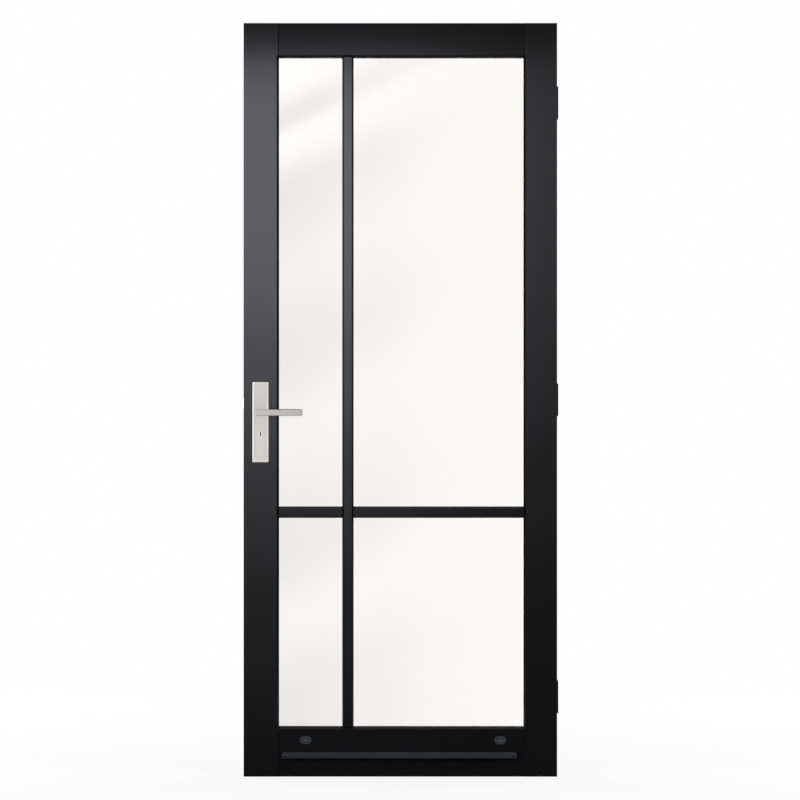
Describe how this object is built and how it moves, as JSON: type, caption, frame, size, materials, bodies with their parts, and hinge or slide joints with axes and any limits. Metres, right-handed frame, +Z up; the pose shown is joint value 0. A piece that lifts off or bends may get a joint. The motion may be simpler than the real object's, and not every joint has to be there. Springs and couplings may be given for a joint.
{
  "type": "glass door",
  "caption": "Painted timber outside door leaf with a full-height sealed glass unit, glazing bars, lever lock, cylinder, drain caps, drip bar and butt hinges; swings inward.",
  "frame": {"origin": "middle of the leaf's bottom edge, halfway through its thickness", "axes": "+Z up, +Y inward from the outside face, +X towards the hinges as seen from outside"},
  "size_m": [0.897, 0.17, 2.115],
  "materials": {
    "painted_timber": "satin black paint on timber",
    "glass": "clear float glass",
    "spacer_metal": "dark anodised spacer profile",
    "sealant": "matt black sealant and foam",
    "block_plastic": "grey glazing packers",
    "beech": "bare beech",
    "dark_aluminium": "dark powder coat on aluminium",
    "dark_plastic": "dark grey moulded plastic",
    "stainless": "satin stainless steel",
    "lock_steel": "zinc plated steel",
    "nickel_brass": "satin nickel on brass",
    "nylon": "white nylon",
    "black_steel": "black painted steel"
  },
  "bodies": {
    "frame_side": {"frame_hinge_leaf_top": "black_steel", "frame_hinge_leaf_middle": "black_steel", "frame_hinge_leaf_bottom": "black_steel", "hinge_pins": "black_steel"},
    "leaf": {"lock_stile": "painted_timber", "hinge_stile": "painted_timber", "top_rail": "painted_timber", "bottom_rail": "painted_timber", "glazing_bead_top": "painted_timber", "glazing_bead_bottom": "painted_timber", "glazing_bead_lock_side": "painted_timber", "glazing_bead_hinge_side": "painted_timber", "outer_bar_vertical": "painted_timber", "outer_bar_left": "painted_timber", "outer_bar_right": "painted_timber", "inner_bar_vertical": "painted_timber", "inner_bar_left": "painted_timber", "inner_bar_right": "painted_timber", "outer_pane": "glass", "inner_pane": "glass", "spacer_frame": "spacer_metal", "cavity_bar_vertical": "spacer_metal", "cavity_bar_left": "spacer_metal", "cavity_bar_right": "spacer_metal", "edge_seal": "sealant", "outer_glazing_seal": "sealant", "inner_glazing_seal": "sealant", "bar_tapes": "sealant", "setting_blocks": "block_plastic", "frame_dowels": "beech", "drip_bar": "dark_aluminium", "drain_cap_left": "dark_plastic", "drain_cap_right": "dark_plastic", "outer_plate": "stainless", "inner_plate": "stainless", "faceplate": "stainless", "faceplate_screws": "stainless", "plate_bolts": "stainless", "lock_case": "lock_steel", "lock_case_cover": "lock_steel", "latch_spring": "lock_steel", "follower_spring": "lock_steel", "cylinder_screw": "lock_steel", "cylinder_body": "nickel_brass", "lever_bushes": "nylon", "door_hinge_leaf_top": "black_steel", "door_hinge_leaf_middle": "black_steel", "door_hinge_leaf_bottom": "black_steel", "hinge_screws": "black_steel", "drip_bar_screws": "black_steel"},
    "lever": {"outer_lever": "stainless", "inner_lever": "stainless", "lever_grub_screws": "lock_steel", "spindle": "lock_steel", "follower": "lock_steel"},
    "latch": {"latch_bolt": "nickel_brass"},
    "bolt": {"dead_bolt": "lock_steel"},
    "outer_core": {"outer_plug": "nickel_brass", "cam": "nickel_brass"},
    "inner_core": {"inner_plug": "nickel_brass"}
  },
  "joints": [
    {"name": "door_swing", "type": "hinge", "parent": "frame_side", "child": "leaf", "pos_m": [0.441, 0.033, 0], "axis": [0, 0, -1], "range_deg": [0, 120]},
    {"name": "lever_turn", "type": "hinge", "parent": "leaf", "child": "lever", "pos_m": [-0.3925, 0, 1.022], "axis": [0, 1, 0], "range_deg": [0, 40], "stiffness_Nm_per_rad": 1.5, "springref_deg": -34.38, "deforming": ["follower_spring"]},
    {"name": "latch_slide", "type": "slide", "parent": "leaf", "child": "latch", "axis": [1, 0, 0], "range_m": [0, 0.011], "deforming": ["latch_spring"]},
    {"name": "key_turn", "type": "hinge", "parent": "leaf", "child": "outer_core", "pos_m": [-0.3925, 0, 0.962], "axis": [0, -1, 0], "range_deg": [0, 360]},
    {"name": "dead_bolt_slide", "type": "slide", "parent": "leaf", "child": "bolt", "axis": [-1, 0, 0], "range_m": [0, 0.02]},
    {"name": "inner_key_turn", "type": "hinge", "parent": "leaf", "child": "inner_core", "pos_m": [-0.3925, 0, 0.962], "axis": [0, 1, 0], "range_deg": [0, 360]}
  ],
  "couplings": [
    {"joint": "latch_slide", "follows": "lever_turn", "m_per_rad": 0.015756},
    {"joint": "key_turn", "follows": "dead_bolt_slide", "rad_per_m": 314.16}
  ]
}
